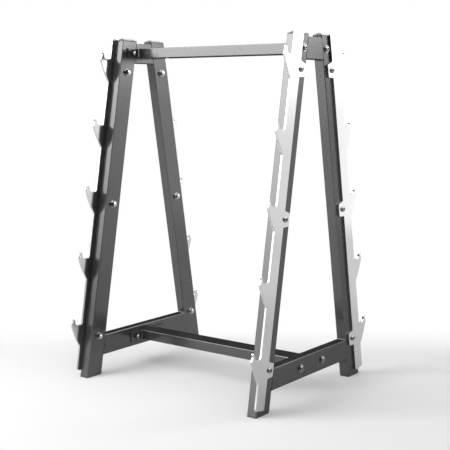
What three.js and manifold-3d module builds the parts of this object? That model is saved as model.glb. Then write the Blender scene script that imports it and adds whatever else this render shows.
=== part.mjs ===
// Storage rack for fixed barbells: two leaning A-frames joined by two beams.
// Millimetres, +Z up. The origin is on the floor under the middle of the rack.
// X runs from the left A-frame to the right one, and -Y is the front.
import * as THREE from 'three';
import { mergeVertices } from 'three/addons/utils/BufferGeometryUtils.js';
import Module from 'manifold-3d';

const wasm = await Module();
wasm.setup();

// Driving dimensions of the frame
const FRAME_SPREAD = 862;      // over the outer faces of the two A-frames
const FRAME_HEIGHT = 1332;     // floor to the top end of the leg tubes
const FOOT_REACH = 361;        // middle of the rack to the outer edge of a leg at the floor
const TOP_REACH = 124;         // the same at the top end of the leg
const LOW_AXIS = 117;          // height of the cross tubes and the low beam
const TOP_AXIS_DROP = 47;      // top end of the legs down to the spacers and the top beam

// Rectangular steel tube of every leg, cross tube, spacer and beam
const TUBE_NARROW = 40;
const TUBE_WIDE = 80;
const TUBE_WALL = 2;
const TUBE_BORE_CORNER = 1;

// Clearances
const SEAT_GAP = 0.3;          // between two pieces that rest on each other
const HOLE_GAP = 0.5;          // round a bolt in its hole
const PLUG_GAP = 0.5;          // round a plastic plug in its tube
const OVERRUN = 5;             // how far a cutting tool passes the surface it cuts

// End plates that bolt the beams to the A-frames
const END_PLATE_THICKNESS = 6;
const END_PLATE_CORNER = 4;
const END_PLATE_MARGIN = 27.5; // from each bolt to the end of the plate
const BEAM_BOLT_INSET = 16.5;  // from a leg's middle line inward to its beam bolt

// Hook plates: a strip along each leg, with hooks outward and bolt tabs inward
const PLATE_THICKNESS = 8;
const PLATE_WIDTH = 52;
const PLATE_OVERHANG = 19;     // strip beyond the outer edge of the leg
const PLATE_START = 27;        // lower end, measured up the leg
const PLATE_RISE = 8;          // level upper end above the leg tube
const PLATE_CORNER = 9;
const HOOK_COUNT = 5;
const LOW_HOOK = 200;          // shoulder of the lowest hook, measured up the leg
const TOP_HOOK_DROP = 87;      // shoulder of the highest hook below the leg's top end

// One hook, with heights measured from the outer corner of its shoulder
const CRADLE_WIDTH = 39;
const CRADLE_FLOOR = 7.5;
const CRADLE_RADIUS = 14;
const CRADLE_ROOT_RADIUS = 11;
const FINGER_THICKNESS = 9.5;
const FINGER_BEND = 24;
const FINGER_HEIGHT = 31;
const FINGER_SPLAY = 4;        // how far the finger leans out at its bend
const TIP_CURL = 4;
const TIP_THICKNESS = 4;
const SHOULDER_WIDTH = 5;
const SHOULDER_LAND = 3;
const SHOULDER_RISE = 16;
const UNDERSIDE_DROP = 77;
const UNDERSIDE_BELLY = 3;     // how far the sloping underside bulges

// Bolt tabs, one beside every second hook
const TAB_STEP = 2;            // hooks from one tab to the next
const TAB_BELOW_HOOK = 31;
const TAB_MARGIN = 25;         // from the bolt to the tab's free edge
const TAB_ROOT_HEIGHT = 60;
const TAB_EDGE_HEIGHT = 50;
const TAB_CORNER = 8;

// Fasteners
const BOLT_RADIUS = 6;
const BOLT_HEAD_RADIUS = 10.5;
const BOLT_HEAD_HEIGHT = 6.6;
const BOLT_HEAD_RIM = 1.6;     // straight edge under the dome of a head
const BOLT_HEAD_FLAT = 5.5;    // radius of the flat on top of the dome
const SOCKET_ACROSS = 8;       // hexagonal socket, across its flats
const SOCKET_DEPTH = 4;
const BOLT_TIP_CHAMFER = 1.5;
const BOLT_STICKOUT = 4;       // thread showing past the nut
const NUT_ACROSS = 19;         // across the flats
const NUT_HEIGHT = 10;
const WASHER_RADIUS = 15;
const WASHER_THICKNESS = 3;
const WELD_NUT_HEIGHT = 10;

// Plastic caps and foot plugs
const CAP_RIM = 2.5;
const CAP_HEIGHT = 10;
const CAP_INSET = 13;          // how far the slopes of a cap run in
const CAP_TOP_CORNER = 2;
const FOOT_PAD = 4;
const FOOT_BEVEL = 1;
const PLUG_DEPTH = 30;

// Facets
const CORNER_STEPS = 2;
const OUTLINE_STEPS = 5;
const DOME_STEPS = 2;
const WASHER_SIDES = 18;
const BOLT_SIDES = 10;
const HEX_SIDES = 6;

// Sizes worked out from the ones above
const frameMiddle = (FRAME_SPREAD - TUBE_NARROW) / 2;
const frameInside = FRAME_SPREAD / 2 - TUBE_NARROW;
const topAxis = FRAME_HEIGHT - TOP_AXIS_DROP;
const tubeCorner = TUBE_BORE_CORNER + TUBE_WALL;
const lean = Math.atan((FOOT_REACH - TOP_REACH) / FRAME_HEIGHT);
const legLength = FRAME_HEIGHT / Math.cos(lean);
const levelWidth = TUBE_WIDE / Math.cos(lean);
const boltAcross = TUBE_WIDE / 2;
const tabEdge = boltAcross + TAB_MARGIN;
const plateFront = -PLATE_OVERHANG;
const plateBack = PLATE_WIDTH - PLATE_OVERHANG;
const hookPitch = (legLength - TOP_HOOK_DROP - LOW_HOOK) / (HOOK_COUNT - 1);

// Middle of a leg at a height, measured level from the outer edge of its foot
const legMiddleAt = (height) => height * Math.tan(lean) + levelWidth / 2;
const beamBoltOffset = FOOT_REACH - legMiddleAt(topAxis) - BEAM_BOLT_INSET;
const beamBoltSides = [-beamBoltOffset, beamBoltOffset];

const hookLevels = [];
for (let i = 0; i < HOOK_COUNT; i += 1) {
  hookLevels.push(LOW_HOOK + i * hookPitch);
}
const tabLevels = hookLevels
  .filter((level, i) => i % TAB_STEP === 0)
  .map((level) => level - TAB_BELOW_HOOK);

// Materials
const paint = () => new THREE.MeshStandardMaterial({ color: 0x4a4b4d, roughness: 0.35, metalness: 0.4 });
const silver = () => new THREE.MeshStandardMaterial({ color: 0xd2d3d4, roughness: 0.3, metalness: 0.8 });
const zinc = () => new THREE.MeshStandardMaterial({ color: 0x6f7073, roughness: 0.3, metalness: 0.9 });
const plastic = () => new THREE.MeshStandardMaterial({ color: 0x161617, roughness: 0.5, metalness: 0 });
const rubber = () => new THREE.MeshStandardMaterial({ color: 0x1c1c1d, roughness: 0.9, metalness: 0 });

// Solids: a closed geometry becomes a solid that can be joined and cut
function toSolid(geometry) {
  const bare = geometry.clone();
  bare.deleteAttribute('normal');
  bare.deleteAttribute('uv');
  const merged = mergeVertices(bare);
  return new wasm.Manifold(new wasm.Mesh({
    numProp: 3,
    vertProperties: merged.attributes.position.array,
    triVerts: new Uint32Array(merged.index.array),
  }));
}

function toGeometry(solid) {
  const mesh = solid.getMesh();
  const geometry = new THREE.BufferGeometry();
  geometry.setAttribute('position', new THREE.BufferAttribute(mesh.vertProperties, 3));
  geometry.setIndex(new THREE.BufferAttribute(mesh.triVerts, 1));
  geometry.computeVertexNormals();
  return geometry;
}

function named(name, geometry, material) {
  const mesh = new THREE.Mesh(geometry, material);
  mesh.name = name;
  return mesh;
}

// Rectangle with round corners, centred on the origin
function roundedRectangle(width, height, radius, path = new THREE.Shape()) {
  const x = width / 2 - radius;
  const y = height / 2 - radius;
  const quarter = Math.PI / 2;
  path.absarc(x, y, radius, 0, quarter);
  path.absarc(-x, y, radius, quarter, 2 * quarter);
  path.absarc(-x, -y, radius, 2 * quarter, 3 * quarter);
  path.absarc(x, -y, radius, 3 * quarter, 4 * quarter);
  path.closePath();
  return path;
}

function extrude(shape, depth, steps) {
  return new THREE.ExtrudeGeometry(shape, { depth, bevelEnabled: false, curveSegments: steps });
}

// Open tube along +Z, with its narrow side along X
function tubeGeometry(length) {
  const section = roundedRectangle(TUBE_NARROW, TUBE_WIDE, tubeCorner);
  const bore = new THREE.Path();
  roundedRectangle(TUBE_NARROW - 2 * TUBE_WALL, TUBE_WIDE - 2 * TUBE_WALL, TUBE_BORE_CORNER, bore);
  section.holes.push(bore);
  return extrude(section, length, CORNER_STEPS);
}

// Round bar along X with its middle at the origin, for shanks, washers and holes
function roundBar(radius, length, sides) {
  return new THREE.CylinderGeometry(radius, radius, length, sides).rotateZ(Math.PI / 2);
}

// Cutter for a bolt hole along X, long enough for a tube, a plate or a nut
function boltHoleAt(y, z) {
  const reach = TUBE_NARROW + PLATE_THICKNESS + NUT_HEIGHT + OVERRUN;
  return toSolid(roundBar(BOLT_RADIUS + HOLE_GAP, 2 * reach, BOLT_SIDES).translate(0, y, z));
}

// A flat outline drawn in Y and Z, given its thickness along X
function plateAlongX(shape, thickness, steps) {
  return extrude(shape, thickness, steps).rotateX(Math.PI / 2).rotateZ(Math.PI / 2);
}

// Skin over a stack of level rings closed at both ends: each has a height and the points of its outline
function stackGeometry(rings) {
  const positions = [];
  const indices = [];
  const count = rings[0].points.length;
  rings.forEach((ring) => {
    ring.points.forEach((point) => positions.push(point.x, point.y, ring.height));
  });
  for (let level = 0; level < rings.length - 1; level += 1) {
    for (let i = 0; i < count; i += 1) {
      const next = (i + 1) % count;
      const low = level * count;
      const high = low + count;
      indices.push(low + i, low + next, high + next);
      indices.push(low + i, high + next, high + i);
    }
  }
  const top = (rings.length - 1) * count;
  for (let i = 1; i < count - 1; i += 1) {
    indices.push(0, i + 1, i);
    indices.push(top, top + i, top + i + 1);
  }
  const geometry = new THREE.BufferGeometry();
  geometry.setAttribute('position', new THREE.Float32BufferAttribute(positions, 3));
  geometry.setIndex(indices);
  return geometry;
}

// Ring of a stack with the outline of a rounded rectangle
function tubeRing(height, width, length, corner) {
  const points = roundedRectangle(width, length, corner).getPoints(CORNER_STEPS);
  return { height, points: points.slice(0, -1) };
}

// Round ring of a stack
function roundRing(height, radius) {
  const points = new THREE.EllipseCurve(0, 0, radius, radius).getPoints(BOLT_SIDES);
  return { height, points: points.slice(0, -1) };
}

// The leg's own frame: X across the rack, Y across the leg from its outer edge inward, Z up the leg.
// It turns about the outer edge of the foot, so a level shape is tilted back by the lean.
function levelled(geometry) {
  return geometry.rotateX(lean);
}

// Place in the leg's frame of a point given by its distance from the rack's middle and its height
function inLegFrame(fromMiddle, height) {
  const inward = FOOT_REACH - fromMiddle;
  return {
    across: inward * Math.cos(lean) - height * Math.sin(lean),
    along: inward * Math.sin(lean) + height * Math.cos(lean),
  };
}

// Everything between two heights, in the leg's frame
function levelSlab(low, high) {
  const span = 2 * FRAME_HEIGHT;
  const slab = new THREE.BoxGeometry(span, span, high - low).translate(0, 0, (low + high) / 2);
  return toSolid(levelled(slab));
}

// Leg tube, cut level at the foot and at the top, with holes for its hook plate and the top beam
function legGeometry() {
  const tube = tubeGeometry(legLength + 2 * TUBE_WIDE).translate(0, TUBE_WIDE / 2, -TUBE_WIDE);
  let leg = toSolid(tube).intersect(levelSlab(FOOT_PAD + SEAT_GAP, FRAME_HEIGHT));
  tabLevels.forEach((level) => {
    leg = leg.subtract(boltHoleAt(boltAcross, level));
  });
  const beamBolt = inLegFrame(beamBoltOffset, topAxis);
  leg = leg.subtract(boltHoleAt(beamBolt.across, beamBolt.along));
  return toGeometry(leg);
}

// The part of a plug that goes into the leg tube, between two heights
function plugInsert(low, high) {
  const width = TUBE_NARROW - 2 * TUBE_WALL - 2 * PLUG_GAP;
  const depth = TUBE_WIDE - 2 * TUBE_WALL - 2 * PLUG_GAP;
  const section = roundedRectangle(width, depth, TUBE_BORE_CORNER);
  const bar = extrude(section, legLength + 2 * TUBE_WIDE, CORNER_STEPS);
  bar.translate(0, TUBE_WIDE / 2, -TUBE_WIDE);
  return toSolid(bar).intersect(levelSlab(low, high));
}

// Plastic cap on top of a leg: a rim, four slopes and an insert
function topCapGeometry() {
  const seat = FRAME_HEIGHT + SEAT_GAP;
  const head = stackGeometry([
    tubeRing(seat, TUBE_NARROW, levelWidth, tubeCorner),
    tubeRing(seat + CAP_RIM, TUBE_NARROW, levelWidth, tubeCorner),
    tubeRing(
      seat + CAP_HEIGHT,
      TUBE_NARROW - 2 * CAP_INSET,
      levelWidth - 2 * CAP_INSET,
      CAP_TOP_CORNER,
    ),
  ]);
  head.translate(0, legMiddleAt(FRAME_HEIGHT), 0);
  const insert = plugInsert(FRAME_HEIGHT - PLUG_DEPTH, seat + CAP_RIM);
  return toGeometry(toSolid(levelled(head)).add(insert));
}

// Rubber plug in the foot of a leg: a pad on the floor and an insert
function footPlugGeometry() {
  const pad = stackGeometry([
    tubeRing(0, TUBE_NARROW - 2 * FOOT_BEVEL, levelWidth - 2 * FOOT_BEVEL, tubeCorner),
    tubeRing(FOOT_BEVEL, TUBE_NARROW, levelWidth, tubeCorner),
    tubeRing(FOOT_PAD, TUBE_NARROW, levelWidth, tubeCorner),
  ]);
  pad.translate(0, legMiddleAt(0), 0);
  const insert = plugInsert(FOOT_PAD / 2, FOOT_PAD + PLUG_DEPTH);
  return toGeometry(toSolid(levelled(pad)).add(insert));
}

// One hook on the outer edge of the plate, drawn upward from its underside to the strip above it
function drawHook(outline, level) {
  const fingerInside = plateFront - CRADLE_WIDTH;
  const fingerOutside = fingerInside - FINGER_THICKNESS;
  const shoulder = fingerOutside - SHOULDER_WIDTH;
  const tip = fingerOutside - TIP_CURL;
  const bellyX = (plateFront + shoulder) / 2 - UNDERSIDE_BELLY;
  const bellyY = level - UNDERSIDE_DROP / 2 - UNDERSIDE_BELLY;
  outline.lineTo(plateFront, level - UNDERSIDE_DROP);
  outline.quadraticCurveTo(bellyX, bellyY, shoulder, level);
  outline.lineTo(shoulder, level + SHOULDER_LAND);
  outline.lineTo(fingerOutside, level + SHOULDER_RISE);
  outline.lineTo(fingerOutside - FINGER_SPLAY / 2, level + FINGER_BEND);
  outline.lineTo(tip, level + FINGER_HEIGHT - TIP_THICKNESS);
  outline.lineTo(tip + TIP_THICKNESS / 2, level + FINGER_HEIGHT);
  outline.lineTo(fingerInside - FINGER_SPLAY, level + FINGER_HEIGHT - TIP_THICKNESS);
  outline.lineTo(fingerInside, level + CRADLE_FLOOR + CRADLE_ROOT_RADIUS);
  outline.quadraticCurveTo(
    fingerInside,
    level + CRADLE_FLOOR,
    fingerInside + CRADLE_ROOT_RADIUS,
    level + CRADLE_FLOOR,
  );
  outline.absarc(
    plateFront - CRADLE_RADIUS,
    level + CRADLE_FLOOR + CRADLE_RADIUS,
    CRADLE_RADIUS,
    -Math.PI / 2,
    0,
  );
}

// One bolt tab on the inner edge of the plate, drawn downward
function drawTab(outline, level) {
  const root = TAB_ROOT_HEIGHT / 2;
  const edge = TAB_EDGE_HEIGHT / 2;
  outline.lineTo(plateBack, level + root);
  outline.lineTo(tabEdge - TAB_CORNER, level + edge);
  outline.quadraticCurveTo(tabEdge, level + edge, tabEdge, level + edge - TAB_CORNER);
  outline.lineTo(tabEdge, level - edge + TAB_CORNER);
  outline.quadraticCurveTo(tabEdge, level - edge, tabEdge - TAB_CORNER, level - edge);
  outline.lineTo(plateBack, level - root);
}

// Hook plate, drawn in the leg's frame with its thickness along X from zero
function hookPlateGeometry() {
  const top = FRAME_HEIGHT + PLATE_RISE;
  const topAt = (across) => (top + across * Math.sin(lean)) / Math.cos(lean);
  const outline = new THREE.Shape();
  outline.moveTo(plateFront + PLATE_CORNER, PLATE_START);
  outline.quadraticCurveTo(plateFront, PLATE_START, plateFront, PLATE_START + PLATE_CORNER);
  hookLevels.forEach((level) => drawHook(outline, level));
  outline.lineTo(plateFront, topAt(plateFront));
  outline.lineTo(plateBack, topAt(plateBack));
  [...tabLevels].reverse().forEach((level) => drawTab(outline, level));
  outline.lineTo(plateBack, PLATE_START + PLATE_CORNER);
  outline.quadraticCurveTo(plateBack, PLATE_START, plateBack - PLATE_CORNER, PLATE_START);
  outline.closePath();
  let plate = toSolid(plateAlongX(outline, PLATE_THICKNESS, OUTLINE_STEPS));
  tabLevels.forEach((level) => {
    plate = plate.subtract(boltHoleAt(boltAcross, level));
  });
  return toGeometry(plate);
}

// Turns a stack that was drawn up along Z so that it runs along X
function alongX(geometry) {
  const across = new THREE.Vector3(0, 1, 0);
  const up = new THREE.Vector3(0, 0, 1);
  const out = new THREE.Vector3(1, 0, 0);
  return geometry.applyMatrix4(new THREE.Matrix4().makeBasis(across, up, out));
}

// Button head along X from zero towards +X, and the hexagonal socket cut into it
function headSolid() {
  const dome = new THREE.QuadraticBezierCurve(
    new THREE.Vector2(BOLT_HEAD_RADIUS, BOLT_HEAD_RIM),
    new THREE.Vector2(BOLT_HEAD_RADIUS, BOLT_HEAD_HEIGHT),
    new THREE.Vector2(BOLT_HEAD_FLAT, BOLT_HEAD_HEIGHT),
  );
  const rings = [roundRing(0, BOLT_HEAD_RADIUS)];
  dome.getPoints(DOME_STEPS).forEach((point) => rings.push(roundRing(point.y, point.x)));
  return toSolid(alongX(stackGeometry(rings)));
}

function socketSolid() {
  const radius = SOCKET_ACROSS / 2 / Math.cos(Math.PI / HEX_SIDES);
  const length = SOCKET_DEPTH + OVERRUN;
  const socket = roundBar(radius, length, HEX_SIDES);
  return toSolid(socket.translate(BOLT_HEAD_HEIGHT - SOCKET_DEPTH + length / 2, 0, 0));
}

// Bolt along X with the underside of its head at zero and its shank towards -X
function boltSolid(grip) {
  const shankLength = grip - BOLT_TIP_CHAMFER + BOLT_HEAD_RIM;
  const shank = roundBar(BOLT_RADIUS, shankLength, BOLT_SIDES);
  shank.translate(BOLT_HEAD_RIM - shankLength / 2, 0, 0);
  const tipRadius = BOLT_RADIUS - BOLT_TIP_CHAMFER;
  const tip = new THREE.CylinderGeometry(BOLT_RADIUS, tipRadius, BOLT_TIP_CHAMFER, BOLT_SIDES);
  tip.rotateZ(-Math.PI / 2).translate(BOLT_TIP_CHAMFER / 2 - grip, 0, 0);
  return headSolid().subtract(socketSolid()).add(toSolid(shank)).add(toSolid(tip));
}

// Washer along X from zero towards +X
function washerSolid() {
  const washer = roundBar(WASHER_RADIUS, WASHER_THICKNESS, WASHER_SIDES);
  return toSolid(washer.translate(WASHER_THICKNESS / 2, 0, 0));
}

// Hexagonal nut blank along X from zero towards -X
function nutBlank(height) {
  const radius = NUT_ACROSS / 2 / Math.cos(Math.PI / HEX_SIDES);
  return toSolid(roundBar(radius, height, HEX_SIDES).translate(-height / 2, 0, 0));
}

// Nut with its washer, seated at zero and reaching towards -X
function washerNutGeometry() {
  const washer = washerSolid().translate([-WASHER_THICKNESS, 0, 0]);
  const nut = nutBlank(NUT_HEIGHT + WASHER_THICKNESS);
  return toGeometry(washer.add(nut).subtract(boltHoleAt(0, 0)));
}

// Bolt through a hook plate and its leg
function hookBoltGeometry() {
  const grip = SEAT_GAP + PLATE_THICKNESS + SEAT_GAP + TUBE_NARROW + SEAT_GAP
    + WASHER_THICKNESS + NUT_HEIGHT + BOLT_STICKOUT;
  return toGeometry(boltSolid(grip));
}

// Bolt with its washer through an A-frame, a beam's end plate and the weld nut behind it
function beamBoltGeometry() {
  const grip = WASHER_THICKNESS + SEAT_GAP + TUBE_NARROW + SEAT_GAP
    + END_PLATE_THICKNESS + WELD_NUT_HEIGHT + BOLT_STICKOUT;
  const bolt = boltSolid(grip).translate([WASHER_THICKNESS, 0, 0]);
  return toGeometry(bolt.add(washerSolid()));
}

// Tube across the A-frame between the two legs, its ends cut to the lean of the legs
function betweenLegsGeometry(axis, holes) {
  const low = axis - TUBE_WIDE / 2;
  const high = axis + TUBE_WIDE / 2;
  const clear = levelWidth + SEAT_GAP / Math.cos(lean);
  const halfAt = (height) => FOOT_REACH - height * Math.tan(lean) - clear;
  const under = low - OVERRUN;
  const over = high + OVERRUN;
  const wedge = new THREE.Shape([
    new THREE.Vector2(-halfAt(under), under),
    new THREE.Vector2(halfAt(under), under),
    new THREE.Vector2(halfAt(over), over),
    new THREE.Vector2(-halfAt(over), over),
  ]);
  const depth = TUBE_NARROW + 2 * OVERRUN;
  const cutter = toSolid(plateAlongX(wedge, depth, CORNER_STEPS).translate(-depth / 2, 0, 0));
  const length = 2 * halfAt(under);
  const bar = tubeGeometry(length).rotateX(Math.PI / 2).translate(0, length / 2, axis);
  let tube = toSolid(bar).intersect(cutter);
  holes.forEach((y) => {
    tube = tube.subtract(boltHoleAt(y, axis));
  });
  return toGeometry(tube);
}

// Beam laid flat along X between the two end plates
function beamGeometry() {
  const length = 2 * (frameInside - END_PLATE_THICKNESS - 2 * SEAT_GAP);
  return tubeGeometry(length).rotateY(Math.PI / 2).translate(-length / 2, 0, 0);
}

// End plate of a beam, seated at zero and reaching towards -X, with its two weld nuts
function endPlateGeometry() {
  const length = 2 * (beamBoltOffset + END_PLATE_MARGIN);
  const shape = roundedRectangle(length, TUBE_NARROW, END_PLATE_CORNER);
  const sheet = plateAlongX(shape, END_PLATE_THICKNESS, CORNER_STEPS);
  let plate = toSolid(sheet.translate(-END_PLATE_THICKNESS, 0, 0));
  beamBoltSides.forEach((y) => {
    const nut = nutBlank(END_PLATE_THICKNESS / 2 + WELD_NUT_HEIGHT);
    plate = plate.add(nut.translate([-END_PLATE_THICKNESS / 2, y, 0]));
    plate = plate.subtract(boltHoleAt(y, 0));
  });
  return toGeometry(plate);
}

// One leg with everything bolted or pushed onto it.
// outward is +1 where the rack's outside is towards the group's own +X, and -1 where it is behind.
function legGroup(corner, outward) {
  const group = new THREE.Group();
  group.add(named(`leg_${corner}`, legGeometry(), paint()));
  group.add(named(`top_cap_${corner}`, topCapGeometry(), plastic()));
  group.add(named(`foot_plug_${corner}`, footPlugGeometry(), rubber()));

  const plate = named(`hook_plate_${corner}`, hookPlateGeometry(), silver());
  const plateSeat = TUBE_NARROW / 2 + SEAT_GAP;
  plate.position.x = outward > 0 ? plateSeat : -plateSeat - PLATE_THICKNESS;
  group.add(plate);

  tabLevels.forEach((level, i) => {
    const bolt = named(`hook_bolt_${corner}_${i + 1}`, hookBoltGeometry(), zinc());
    const headSeat = plateSeat + PLATE_THICKNESS + SEAT_GAP;
    bolt.position.set(outward * headSeat, boltAcross, level);
    const nut = named(`hook_nut_${corner}_${i + 1}`, washerNutGeometry(), zinc());
    nut.position.set(-outward * plateSeat, boltAcross, level);
    if (outward < 0) {
      bolt.rotation.z = Math.PI;
      nut.rotation.z = Math.PI;
    }
    group.add(bolt, nut);
  });
  group.position.y = -FOOT_REACH;
  group.rotation.x = -lean;
  return group;
}

// One A-frame, drawn with its outside towards +X, and the bolts that hold the beams to it
function aFrame(side, outward) {
  const frame = new THREE.Group();
  const front = new THREE.Group();
  front.add(legGroup(`front_${side}`, outward));
  const rear = new THREE.Group();
  rear.add(legGroup(`rear_${side}`, -outward));
  rear.rotation.z = Math.PI;
  frame.add(front, rear);

  frame.add(named(`cross_tube_${side}`, betweenLegsGeometry(LOW_AXIS, beamBoltSides), paint()));
  frame.add(named(`top_spacer_${side}`, betweenLegsGeometry(topAxis, []), paint()));

  const levels = { low: LOW_AXIS, top: topAxis };
  Object.entries(levels).forEach(([level, height]) => {
    beamBoltSides.forEach((y) => {
      const end = y < 0 ? 'front' : 'rear';
      const bolt = named(`beam_bolt_${level}_${end}_${side}`, beamBoltGeometry(), zinc());
      bolt.position.set(outward * (TUBE_NARROW / 2 + SEAT_GAP), y, height);
      bolt.rotation.z = outward > 0 ? 0 : Math.PI;
      frame.add(bolt);
    });
  });
  frame.position.x = outward * frameMiddle;
  return frame;
}

// A beam with its two end plates
function beamGroup(level, height) {
  const group = new THREE.Group();
  group.add(named(`${level}_beam`, beamGeometry(), paint()));
  const seat = frameInside - SEAT_GAP;
  const right = named(`${level}_end_plate_right`, endPlateGeometry(), paint());
  right.position.x = seat;
  const left = named(`${level}_end_plate_left`, endPlateGeometry(), paint());
  left.position.x = -seat;
  left.rotation.z = Math.PI;
  group.add(right, left);
  group.position.z = height;
  return group;
}

const rack = new THREE.Group();
rack.add(aFrame('right', 1));
rack.add(aFrame('left', -1));
rack.add(beamGroup('low', LOW_AXIS));
rack.add(beamGroup('top', topAxis));

export default rack;
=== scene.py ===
import math
from itertools import product

import bpy
import numpy as np
from bpy.props import FloatProperty, FloatVectorProperty, IntProperty, PointerProperty
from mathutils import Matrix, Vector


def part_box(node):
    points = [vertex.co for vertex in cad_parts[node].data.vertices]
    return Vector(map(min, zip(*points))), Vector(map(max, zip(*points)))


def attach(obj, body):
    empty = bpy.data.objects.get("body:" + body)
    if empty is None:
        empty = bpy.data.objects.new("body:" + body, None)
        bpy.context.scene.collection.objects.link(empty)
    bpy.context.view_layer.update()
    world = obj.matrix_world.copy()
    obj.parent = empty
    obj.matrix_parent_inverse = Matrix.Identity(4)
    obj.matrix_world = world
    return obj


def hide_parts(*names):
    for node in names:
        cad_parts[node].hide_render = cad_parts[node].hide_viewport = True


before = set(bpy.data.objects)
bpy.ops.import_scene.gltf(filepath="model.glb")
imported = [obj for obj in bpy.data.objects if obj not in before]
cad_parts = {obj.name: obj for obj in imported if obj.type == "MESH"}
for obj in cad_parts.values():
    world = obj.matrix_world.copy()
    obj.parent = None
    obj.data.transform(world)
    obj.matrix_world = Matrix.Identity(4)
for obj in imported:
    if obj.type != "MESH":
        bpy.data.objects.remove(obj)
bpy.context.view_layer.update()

bl_info = {
    "name": "Barbell Storage Rack",
    "version": (1, 0, 0),
    "blender": (4, 5, 0),
    "location": "3D View > Sidebar > Rack",
    "description": "Builds the finished surfaces and the studio of a storage rack for fixed barbells",
    "category": "Object",
}

LEG_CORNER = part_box("leg_front_right")[1]
SIDES = {"left": -1, "right": 1}
ENDS = {"front": 1, "rear": -1}

# Angles above which an edge stays hard in shading
CUT_EDGE, MOULDED_EDGE, WELD_EDGE = (math.radians(angle) for angle in (35, 50, 60))

# Shares of a bolt's radius: its plain shank, and a nut's bore, which the thread bites into
PLAIN_SHANK, NUT_BORE = 0.99, 0.98


# Sidebar values


def length(name, description, default):
    """A size in metres that the sidebar shows with its unit."""
    return FloatProperty(name=name, description=description, default=default, unit="LENGTH", precision=5)


def amount(name, description, default):
    """A plain number, not below zero."""
    return FloatProperty(name=name, description=description, default=default, min=0)


def degrees(name, description, default):
    """An angle, given and shown in degrees and kept in radians."""
    return FloatProperty(name=name, description=description, default=math.radians(default), subtype="ANGLE")


def colour(name, description, default):
    """A colour for the sidebar."""
    return FloatVectorProperty(
        name=name, description=description, default=default, subtype="COLOR", size=3, min=0, max=1
    )


def spot(name, description, default):
    """A place in the room, in metres."""
    return FloatVectorProperty(name=name, description=description, default=default, subtype="XYZ")


def pair(name, description, default):
    """Two values: a place on the floor plan, the ends of a range, or the glow of a wall at two places."""
    return FloatVectorProperty(name=name, description=description, default=default, size=2)


class RackFrameSizes(bpy.types.PropertyGroup):
    """Sizes of the tube frame."""

    spread: length("Spread", "Width over the outer faces of the two A-frames", 2 * LEG_CORNER[0])
    height: length("Height", "Floor to the top end of the leg tubes", LEG_CORNER[2])
    foot_reach: length("Foot reach", "Middle of the rack to a leg's outer edge at the floor", 0.361)
    top_reach: length("Top reach", "Middle of the rack to a leg's outer edge at its top", 0.124)
    low_axis: length("Low axis", "Height of the cross tubes and the low beam", 0.117)
    top_drop: length("Top drop", "Top of the legs down to the spacers and the top beam", 0.047)
    narrow: length("Tube narrow side", "Narrow side of the rectangular tube", 0.040)
    wide: length("Tube wide side", "Wide side of the rectangular tube", 0.080)
    wall: length("Tube wall", "Wall of the rectangular tube", 0.002)
    bore_corner: length("Tube inner corner", "Inner corner radius of the tube", 0.001)
    seat_gap: length("Seat gap", "Gap between two pieces that rest on each other", 0.0003)
    bolt_inset: length("Beam bolt inset", "From a leg's middle line inward to its beam bolt", 0.0165)
    end_margin: length("End plate margin", "From a beam bolt to the end of the end plate", 0.0275)
    end_thickness: length("End plate thickness", "Thickness of the beams' end plates", 0.006)
    end_corner: length("End plate corner", "Corner radius of the end plates", 0.004)
    weld_leg: length("Weld leg", "Leg length of the fillet welds", 0.0034)
    weld_ripple: length("Weld ripple", "Distance between the ripples of a weld", 0.0021)


class RackHookSizes(bpy.types.PropertyGroup):
    """Sizes of the hook plates."""

    thickness: length("Thickness", "Thickness of a hook plate", 0.008)
    width: length("Strip width", "Width of the strip along the leg", 0.052)
    overhang: length("Overhang", "Strip beyond the leg's outer edge", 0.019)
    start: length("Start", "Lower end of the plate, measured up the leg", 0.027)
    rise: length("Rise", "Level upper end above the leg tube", 0.008)
    end_corner: length("End corner", "Corner radius at the lower end", 0.009)
    hooks: IntProperty(name="Hooks", description="Hooks on each plate", default=5, min=2, max=9)
    low_hook: length("Lowest hook", "Shoulder of the lowest hook, measured up the leg", 0.200)
    top_hook_drop: length("Highest hook", "Shoulder of the highest hook below the leg's top", 0.087)
    cradle_width: length("Cradle width", "Clear width of a cradle", 0.039)
    cradle_floor: length("Cradle floor", "Cradle floor above the shoulder", 0.0075)
    cradle_radius: length("Cradle radius", "Round from the cradle floor into the strip", 0.014)
    root_radius: length("Root radius", "Round from the cradle floor into the finger", 0.011)
    finger: length("Finger", "Thickness of the finger", 0.0095)
    finger_bend: length("Finger bend", "Height at which the finger curls out", 0.024)
    finger_height: length("Finger height", "Height of the finger's tip", 0.031)
    finger_splay: length("Finger splay", "How far the finger leans out", 0.004)
    tip_curl: length("Tip curl", "How far the tip curls outward", 0.004)
    tip: length("Tip", "Thickness of the tip", 0.004)
    shoulder: length("Shoulder", "Shoulder beyond the finger", 0.005)
    shoulder_land: length("Shoulder land", "Short upright face of the shoulder", 0.003)
    shoulder_rise: length("Shoulder rise", "Height where the shoulder meets the finger", 0.016)
    drop: length("Underside drop", "Foot of the underside below the shoulder", 0.077)
    belly: length("Underside belly", "Bulge of the sloping underside", 0.003)
    tab_drop: length("Tab drop", "Bolt tab below the shoulder of its hook", 0.031)
    tab_margin: length("Tab margin", "From the bolt to the tab's free edge", 0.025)
    tab_root: length("Tab root", "Height of a tab where it leaves the strip", 0.060)
    tab_edge: length("Tab edge", "Height of a tab at its free edge", 0.050)
    tab_corner: length("Tab corner", "Corner radius of a tab", 0.008)
    edge_round: length("Edge round", "Rounding of the plate's cut edges", 0.0006)
    corner_round: length("Corner round", "Rounding of the outline's corners", 0.002)


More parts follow.
